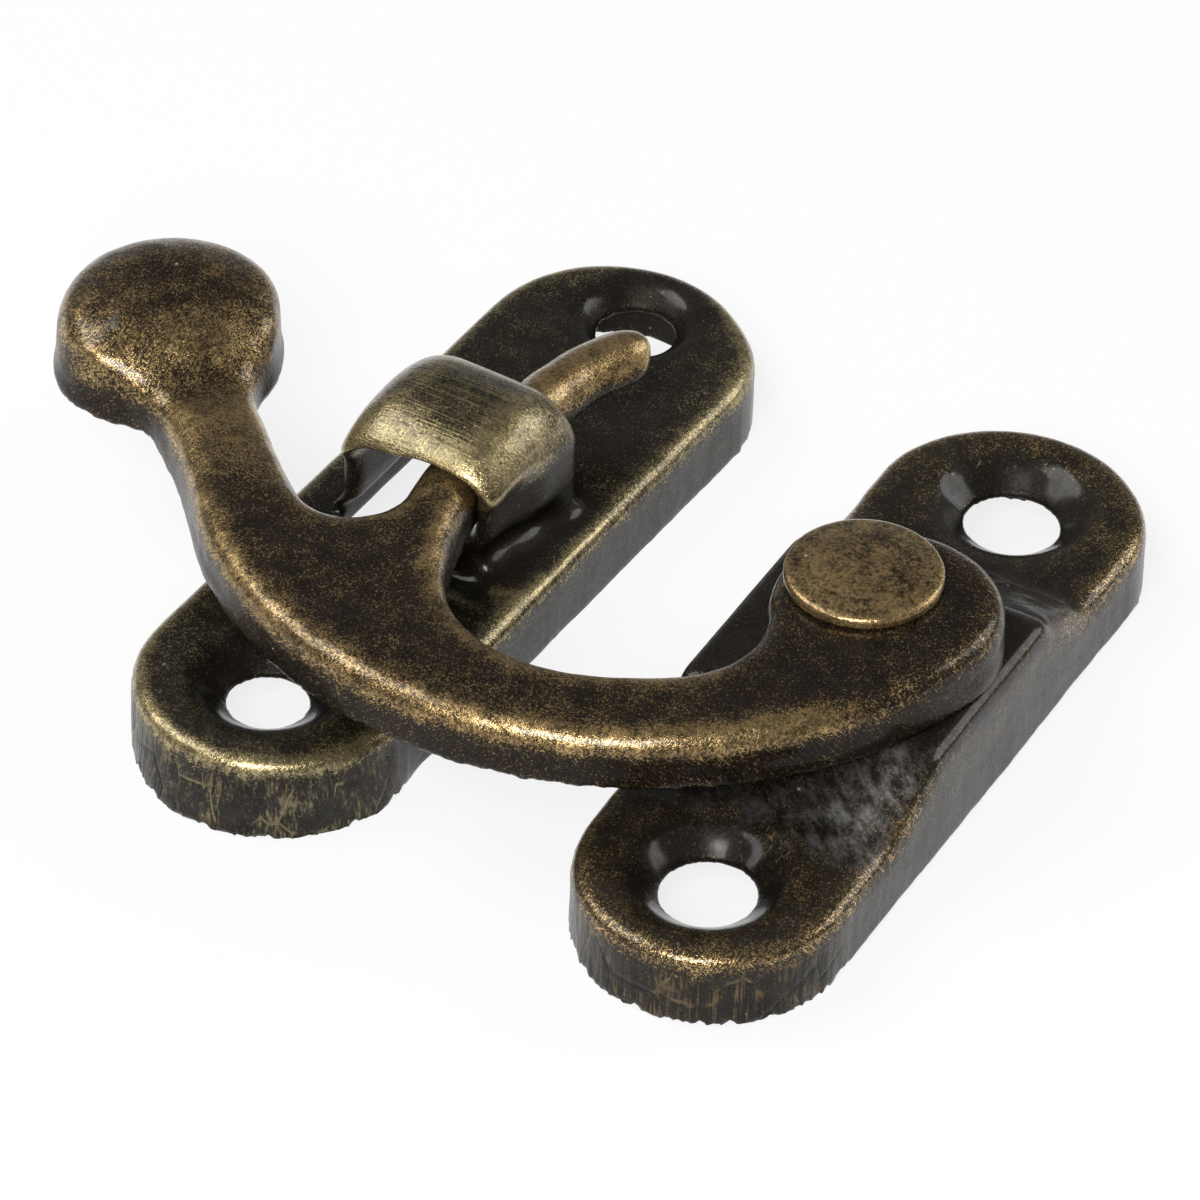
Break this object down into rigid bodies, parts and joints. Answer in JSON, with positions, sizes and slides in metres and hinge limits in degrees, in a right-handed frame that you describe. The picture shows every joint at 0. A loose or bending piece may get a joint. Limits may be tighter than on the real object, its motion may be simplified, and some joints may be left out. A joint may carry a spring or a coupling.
{
  "type": "swing-hook box latch",
  "caption": "Antique-bronze swing-hook box latch: a pressed hook arm turns on a riveted tray plate and hooks under the lanced bridge of a keeper plate.",
  "frame": {"origin": "middle of the closed latch, on its mounting face", "axes": "+Z leaves the mounting face, +Y runs along the hook plate, -X points to the keeper plate"},
  "size_m": [0.0328, 0.0288, 0.0072],
  "materials": {
    "plate_bronze": "dark brown antiqued patina, semi-gloss, rubbed back to golden brass on the edges and the bridge",
    "arm_bronze": "dark red-brown antiqued patina, grainy, dense golden speckle, bright worn edges",
    "rivet_bronze": "speckled brown and gold antiqued patina with a bright rim"
  },
  "bodies": {
    "base": {"hook_plate": "plate_bronze", "keeper_plate": "plate_bronze", "pivot_rivet": "rivet_bronze"},
    "arm": {"hook_arm": "arm_bronze"}
  },
  "joints": [
    {"name": "arm_swing", "type": "hinge", "parent": "base", "child": "arm", "pos_m": [0.012, -0.00044, 0.0051], "axis": [0, 0, 1], "range_deg": [-10, 275]}
  ]
}
